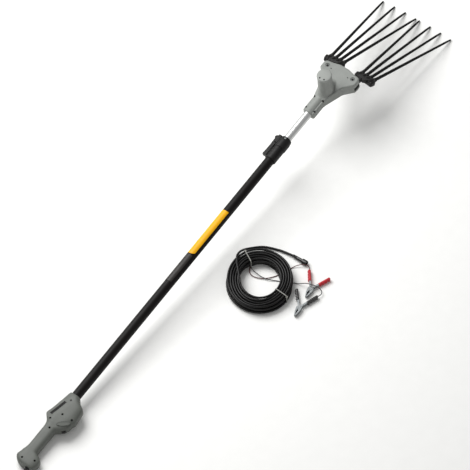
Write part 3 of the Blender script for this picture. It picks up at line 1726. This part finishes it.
@dataclass
class Coil:
    """Coiled cable with its free end, its ties and its plug, in the ground's frame."""

    centre: Flat = (-64.0, -215.0)
    axis: float = 36.0
    stretch: float = 1.1
    start: float = 154.0
    turns_per_layer: int = 5
    layers: int = 4
    inner_r: float = 70.5
    step: float = 8.5
    floor: float = 7.4
    first_turn: float = 0.283
    sway: float = 2.2
    sway_shift: Flat = (130.0, 75.0)
    quick_sway: float = 0.6
    loft: float = 0.06
    loft_shift: float = 2.3
    cable_d: float = 8.0
    points_per_turn: int = 48
    tie_angles: Flat = (62.0, 268.0)
    tie_w: float = 3.0
    tie_t: float = 1.0
    plug_at: Point = (93.0, -250.0, 9.5)
    collar_grips: int = 18
    contact_x: float = 2.3

    def ray(self, degrees: float) -> Vector:
        """Gives the direction and stretch of the coil at one angle.

        Args:
            degrees: The angle.

        Returns:
            The direction, longer along the coil's long axis.
        """
        a = math.radians(degrees - self.axis)
        flat = Vector((self.stretch * math.cos(a), math.sin(a), 0))
        return turned(self.axis, "Z").to_3x3() @ flat

    def radius(self, turn: float) -> float:
        """Gives the coil's radius, which grows and shrinks layer by layer.

        Args:
            turn: Turns from the start.

        Returns:
            The radius.
        """
        n = self.turns_per_layer
        m = turn % (2 * n)
        return self.inner_r + self.step * (m if m <= n else 2 * n - m)

    def layer(self, turn: float) -> float:
        """Gives the layer that the cable has climbed to, which rises round each turning back."""
        climbs = [2 * (turn - k * self.turns_per_layer) + 0.5 for k in range(1, self.layers + 1)]
        return sum(min(1.0, max(0.0, climb)) for climb in climbs)

    def spot(self, turn: float) -> Vector:
        """Gives the middle of the cable after so many turns, each layer swaying its own way.

        Args:
            turn: Turns from the start.

        Returns:
            The point.
        """
        angle = self.start - 360 * turn
        layer = self.layer(turn)
        slow = math.sin(math.radians(2 * angle + self.sway_shift[0] * layer))
        quick = math.sin(math.radians(3 * angle + self.sway_shift[1] * layer))
        swing = slow + self.quick_sway * quick
        ease = min(1.0, 2 * (self.turns_per_layer * self.layers - turn))
        reach = self.radius(turn) + self.sway * swing * ease
        wave = math.sin(self.loft_shift * self.radius(turn) / self.step + math.radians(3 * angle))
        lift = 1 + self.loft * (1 + wave) * ease
        flat = Vector((*self.centre, 0)) + reach * self.ray(angle)
        return Vector((flat.x, flat.y, self.floor + self.step * layer * lift))

    def crossing(self, angle: float) -> list[Vector]:
        """Gives where the wound cable passes one angle, from the coil's middle.

        Args:
            angle: The angle.

        Returns:
            One point for each turn.
        """
        first = (self.start - angle) / 360
        last = self.turns_per_layer * self.layers
        turns = [first + k for k in range(-1, last + 1) if self.first_turn <= first + k <= last]
        return [self.spot(turn) - Vector((*self.centre, 0)) for turn in turns]

    def loops(self) -> list[Vector]:
        """Gives the middle line of the wound part, with a straight lead-in.

        Returns:
            The points of the line.
        """
        last = self.turns_per_layer * self.layers
        wound = last - self.first_turn
        count = round(wound * self.points_per_turn)
        line = [self.spot(self.first_turn + wound * i / count) for i in range(count + 1)]
        return [line[0] + self.cable_d * (line[0] - line[1]).normalized(), *line]

    def free_end(self, loops: Sequence[Vector]) -> list[Vector]:
        """Gives the middle line from the coil over its top to the plug.

        Args:
            loops: Points of the wound part.

        Returns:
            The points of the line.
        """
        x, y, z = self.plug_at
        route = [
            (-121.5, -173.5, 39.4), (-111, -163, 42.2), (-97, -150.5, 44.4), (-79, -133, 45),
            (-57, -113, 45), (-31, -97, 43), (1, -93, 28), (36, -105.5, 11), (68, -137, 6),
            (87, -190, 6.5), (x, y + 10, z),
        ]
        out = loops[-1] + (loops[-1] - loops[-2]).normalized() * self.cable_d / 2
        return smooth_line([out, *[Vector(p) for p in route]], 6) + [Vector((x, y, z))]

    def cable(self, plug: Sequence[bpy.types.Object]) -> list[Vector]:
        """Lays the cable and says what it is.

        Args:
            plug: The pieces on its far end.

        Returns:
            The first two points of its middle line.
        """
        loops = self.loops()
        line = loops + self.free_end(loops)
        part = Part("power_cable", PVC_JACKET, "pole", "cable", ("cable_coil", "cable_end"))
        cable = part.wire(line, self.cable_d / 2, 3)
        return line[:2]

    def ties(self) -> None:
        """Builds the two strap ties round the bundle, each with its lock."""
        room = self.cable_d / 2 + 0.3 + self.tie_t
        straps = []
        for angle in self.tie_angles:
            ray = self.ray(angle)
            spots = self.crossing(angle)
            reaches = [spot.xy.length for spot in spots]
            low, high = min(reaches) - room, max(reaches) + room
            top = max(spot.z for spot in spots) + room
            rim = [(low, 0.15, 4), (high, 0.15, 4), (high, top, 5), (low, top, 5)]
            strap = hoop(rim, self.tie_t, self.tie_w)
            shifted(strap, moved(0, self.tie_w / 2, 0) @ turned(90, "X"))
            lock = softened(block((high - 3, -3.2, top - 9), (high + 2.4, 3.2, top - 3)), 0.8, 2)
            place = moved(*self.centre, 0) @ turned(math.degrees(math.atan2(ray.y, ray.x)), "Z")
            straps += [shifted(strap, place), shifted(lock, place)]
        Part("cable_ties", TIE_NYLON, "pole", "nylon", ("coil_ties",)).draw(joined(straps), GROUND)

    def plug(self) -> list[bpy.types.Object]:
        """Builds the plug's ribbed body, its collar and its contacts.

        Returns:
            The pieces of the plug.
        """
        place = GROUND @ moved(*self.plug_at) @ turned(90, "X")
        ribs = [(5.2 + 0.7 * (i % 2) + 0.08 * i, -10.0 + 1.8 * i) for i in range(11)]
        profile = [
            (4.05, -10.5), *ribs, (6.5, 9.5), (6.5, 27.5), (6.0, 28.0), (5.9, 30.0), (5.9, 46.0),
            (5.0, 46.0), (5.0, 36.0), (0.0, 36.0), (0.0, -10.5),
        ]
        ring = [
            (6.55, 28.0), (8.2, 28.0), (9.2, 29.2), (9.2, 46.6), (8.7, 48.0), (8.1, 48.0), (8.1, 34.0),
            (6.55, 34.0),
        ]
        collar = [lathe(ring, 48, True)]
        for k in range(self.collar_grips):
            grip = softened(block((8.4, -0.7, 31.0), (9.75, 0.7, 45.5)), 0.35, 2)
            collar.append(shifted(grip, turned(360 / self.collar_grips * k, "Z")))
        spots = [moved(sign * self.contact_x, 0, 0) for sign in (-1, 1)]
        pins = [shifted(rounded_rod(1.1, 35.5, 43.0, 0.4, 20), spot) for spot in spots]
        body = Part("plug_handle", GLOSS_NYLON, "pole", "black_plastic", ("plug_body",))
        nut = Part("plug_ring", GLOSS_NYLON, "pole", "black_plastic", ("plug_collar",))
        contacts = Part("plug_contacts", BRASS, "pole", "steel")
        return [
            body.draw(lathe(profile, 48), place),
            nut.draw(joined(collar), place),
            contacts.draw(joined(pins), place),
        ]

    def build(self) -> list[Vector]:
        """Builds the cable kit.

        Returns:
            The first two points of the cable, where the leads leave it.
        """
        self.ties()
        return self.cable(self.plug())


class Pole(Enum):
    """Battery pole that a clip is for, with the side of its fixed half."""

    RED = 1
    BLACK = -1


@dataclass
class Clip:
    """Battery clip with its lead, drawn with the handles towards +x."""

    pole: Pole
    pivot: Flat
    axis: float
    route: tuple[Point, ...]
    grip: Finish
    jacket: Finish
    slot: str
    lead_slot: str
    spread: float = 29.0
    handle: float = 80.0
    sleeve_start: float = 34.0
    sleeve_wall: float = 1.6
    channel: float = 6.0
    bumps: int = 4
    level: float = 8.5
    fixed_half_h: float = 6.5
    moving_half_h: float = 5.0
    lead_d: float = 3.0
    spring_r: float = 2.9
    spring_wire: float = 0.6
    curls: int = 4
    curl_points: int = 16
    sleeve_rings: int = 44
    sleeve_sides: int = 28
    squareness: float = 0.62
    bump_h: float = 3.0
    bump_power: float = 1.4
    dip: float = 0.4
    end_len: float = 4.0
    end_share: float = 0.25
    lip_len: float = 1.5
    lip_cut: float = 0.12

    def name(self) -> str:
        """Gives the clip's colour name."""
        return self.pole.name.lower()

    def place(self, side: int) -> Matrix:
        """Gives the frame of one half in millimetres of the ground."""
        return moved(*self.pivot, self.level) @ turned(self.axis, "Z") @ Matrix.Diagonal((1, side, 1, 1))

    def sleeve(self, half_h: float) -> BMesh:
        """Draws one dipped grip with its finger bumps.

        Args:
            half_h: Half height of the steel inside it.

        Returns:
            The grip, along the handle's direction.
        """
        inner = self.channel / 2 + self.sleeve_wall
        high = half_h + self.sleeve_wall
        end = self.handle + self.sleeve_wall
        pitch = (self.handle - self.sleeve_start) / self.bumps
        rings = []
        for i in range(self.sleeve_rings + 1):
            s = self.sleeve_start + (end - self.sleeve_start) * i / self.sleeve_rings
            bump = 0.0
            if s < self.handle:
                bump = abs(math.sin(math.pi * (s - self.sleeve_start) / pitch)) ** self.bump_power
            round_off = math.sqrt(max(0.0, 1 - (1 - min(1.0, (end - s) / self.end_len)) ** 2))
            shrink = round_off * (1 - self.end_share) + self.end_share
            lip = 1.0 - self.lip_cut * max(0.0, 1 - (s - self.sleeve_start) / self.lip_len)
            reach = (inner - self.dip + self.bump_h * bump) * shrink * lip
            low = -inner * shrink * lip
            middle, half = (reach + low) / 2, (reach - low) / 2
            oval = squared_ring(middle, half, high * shrink * lip, self.squareness, self.sleeve_sides)
            rings.append([Vector((s, y, z)) for y, z in oval])
        return shifted(bridged(rings), turned(self.spread, "Z"))

    def lead_end(self) -> Vector:
        """Gives the middle of the fixed grip's end.

        Returns:
            The point.
        """
        far = self.handle + self.sleeve_wall
        a = math.radians(self.spread)
        side = self.pole.value
        flat = turned(self.axis, "Z") @ Vector((far * math.cos(a), side * far * math.sin(a), 0))
        return Vector((self.pivot[0] + flat.x, self.pivot[1] + flat.y, self.level))

    def spring(self) -> None:
        """Builds the coil spring round the pin."""
        rise = 2 * self.moving_half_h - 2.4 - 2 * self.spring_wire - 1.0
        r = self.spring_r
        line = []
        count = self.curls * self.curl_points
        for i in range(count + 1):
            a = math.tau * i / self.curl_points
            spot = Vector((r * math.cos(a), r * math.sin(a), rise * (i / count - 0.5)))
            line.append(self.place(1) @ spot)
        name = self.name()
        spring = Part(f"{name}_torsion_spring", ZINC_STEEL, "pole", "steel", (f"{name}_clip_spring",))
        spring.wire(line, self.spring_wire, 1)

    def build(self, start: Sequence[Vector]) -> None:
        """Builds the grips, the spring and the lead.

        Args:
            start: First two points of the cable that the lead leaves.
        """
        name = self.name()
        for half, side, half_h, body in (
            ("fixed", self.pole.value, self.fixed_half_h, "pole"),
            ("moving", -self.pole.value, self.moving_half_h, f"{name}_clip"),
        ):
            grip = Part(f"{name}_grip_{half}", self.grip, body, self.slot, (f"{name}_sleeve_{half}",))
            grip.draw(self.sleeve(half_h), GROUND @ self.place(side), 60.0)
        self.spring()
        out = (start[0] - start[1]).normalized()
        beside = out.cross(Vector((0, 0, 1))).normalized() * self.pole.value
        root = start[0] + beside * (self.lead_d / 2 + 0.15)
        end = self.lead_end()
        last = end + (end - Vector((*self.pivot, self.level))).normalized() * self.lead_d
        points = [root + out * self.lead_d, *[Vector(p) for p in self.route], last]
        line = [root, *smooth_line(points, 6), end]
        part = Part(f"{name}_wire", self.jacket, "pole", self.lead_slot, (f"{name}_lead",))
        lead = part.wire(line, self.lead_d / 2, 2)


RED_ROUTE = (
    (-34, -149.5, 6), (-46, -157.5, 4.5), (-52, -173.4, 4), (-48.5, -193, 4), (-39, -211.5, 4),
    (-24.2, -226.5, 3.2), (-3.6, -240.4, 2.0), (12.4, -248.6, 1.65), (49.8, -262.4, 1.65), (60, -267.5, 4),
    (70, -276, 8), (79, -287, 11), (86, -298, 11), (88, -308, 9.5), (84.5, -315.5, 8.7),
)
BLACK_ROUTE = (
    (-30, -153.5, 8), (-34.5, -166, 8), (-37.5, -183, 7.8), (-39.3, -202, 7.5), (-35.9, -222.2, 6.5),
    (-27, -241.5, 3.6), (-14.7, -264.7, 1.65), (6.3, -307.4, 1.65), (12, -325, 6), (18, -348, 20),
    (23, -366, 22.5), (28, -382, 20), (31, -397, 14), (27, -409, 10), (17, -413.5, 8.6),
)


# Studio


@dataclass
class Studio:
    """Pale floor, soft light and the camera of the photograph."""

    right: Point = (0.58995, -0.80702, -0.02593)
    up: Point = (0.66469, 0.46717, 0.58305)
    back: Point = (-0.45841, -0.36121, 0.81203)
    aim: Point = (0.09724, 0.01179, -0.07652)
    nearer: float = 0.11
    photo_px: int = 470
    pixel_mm: float = 3.42
    sensor: float = 36.0
    lens: float = 1200.0
    floor_size: float = 120.0
    sky: float = 0.38

    def camera(self) -> None:
        """Sets up a long-lens camera at the photograph's angle."""
        field = self.photo_px * self.pixel_mm * MM
        distance = field * self.lens / self.sensor + self.nearer
        data = bpy.data.cameras.new("photo_camera")
        data.sensor_width = self.sensor
        data.lens = self.lens
        data.clip_start = 1.0
        data.clip_end = 3 * distance
        made = in_scene("photo_camera", data)
        turn = Matrix((self.right, self.up, self.back)).transposed().to_4x4()
        made.matrix_world = Matrix.Translation(Vector(self.aim) + Vector(self.back) * distance) @ turn
        bpy.context.scene.camera = made

    def floor(self) -> None:
        """Lays the pale floor."""
        bm = bmesh.new()
        bmesh.ops.create_grid(bm, x_segments=1, y_segments=1, size=self.floor_size)
        made = as_object(bm, "studio_floor")
        made.data.materials.append(Paint.of(Finish("white_backdrop_paper", "#f4f4f2", "#f2f2f0", 0.9)))

    def lamp(self, name: str, spot: Point, size: float, power: float) -> None:
        """Hangs one soft lamp that points at the object.

        Args:
            name: Name of the lamp.
            spot: Where it hangs, in metres.
            size: Side of its square face.
            power: Its power in watts.
        """
        data = bpy.data.lights.new(name, "AREA")
        data.size = size
        data.energy = power
        made = in_scene(name, data)
        made.location = spot
        made.rotation_mode = "QUATERNION"
        made.rotation_quaternion = (-Vector(spot)).to_track_quat("-Z", "Y")
        made.visible_camera = False

    def light(self) -> None:
        """Sets the key light from the upper left, a weak fill and an even sky."""
        self.lamp("key_softbox", (0.2, 2.3, 3.2), 3.0, 205.0)
        self.lamp("fill_softbox", (-2.6, -1.6, 2.4), 2.5, 6.0)
        world = bpy.data.worlds.new("studio_sky")
        world.use_nodes = True
        sky = world.node_tree.nodes["Background"]
        sky.inputs["Color"].default_value = (1.0, 1.0, 1.0, 1.0)
        sky.inputs["Strength"].default_value = self.sky
        bpy.context.scene.world = world
        bpy.context.scene.view_settings.view_transform = "Standard"

    def build(self) -> None:
        """Builds the studio."""
        self.camera()
        self.floor()
        self.light()


def dress_nodes() -> None:
    """Gives every CAD node that still shows its finish."""
    for finish, names in NODES_IN.items():
        for name in names:
            for slot in frame["nodes"][name].material_slots:
                slot.material = Paint.of(finish)
            log.info("node %s in %s", name, finish.name)


def main() -> None:
    """Builds the studio and every sub-assembly in order."""
    logging.basicConfig(level=logging.INFO, format="%(message)s")
    Studio().build()
    leads = Coil().build()
    red = Clip(Pole.RED, (12.0, -372.0), 9.0, RED_ROUTE, RED_VINYL, RED_PVC, "red_vinyl", "red_vinyl")
    red.build(leads)
    black = Clip(
        Pole.BLACK, (-74.0, -386.0), 12.0, BLACK_ROUTE, BLACK_VINYL, BLACK_PVC, "black_vinyl", "cable"
    )
    black.build(leads)
    dress_nodes()
    HeadCasing().build()
    Rake(Side.LEFT, rod_top=-8.5).build()
    Rake(Side.RIGHT, rod_top=-13.0).build()
    PoleClamp().build()
    PoleFilm().build()
    Handle().build()


if __name__ == "__main__":
    main()
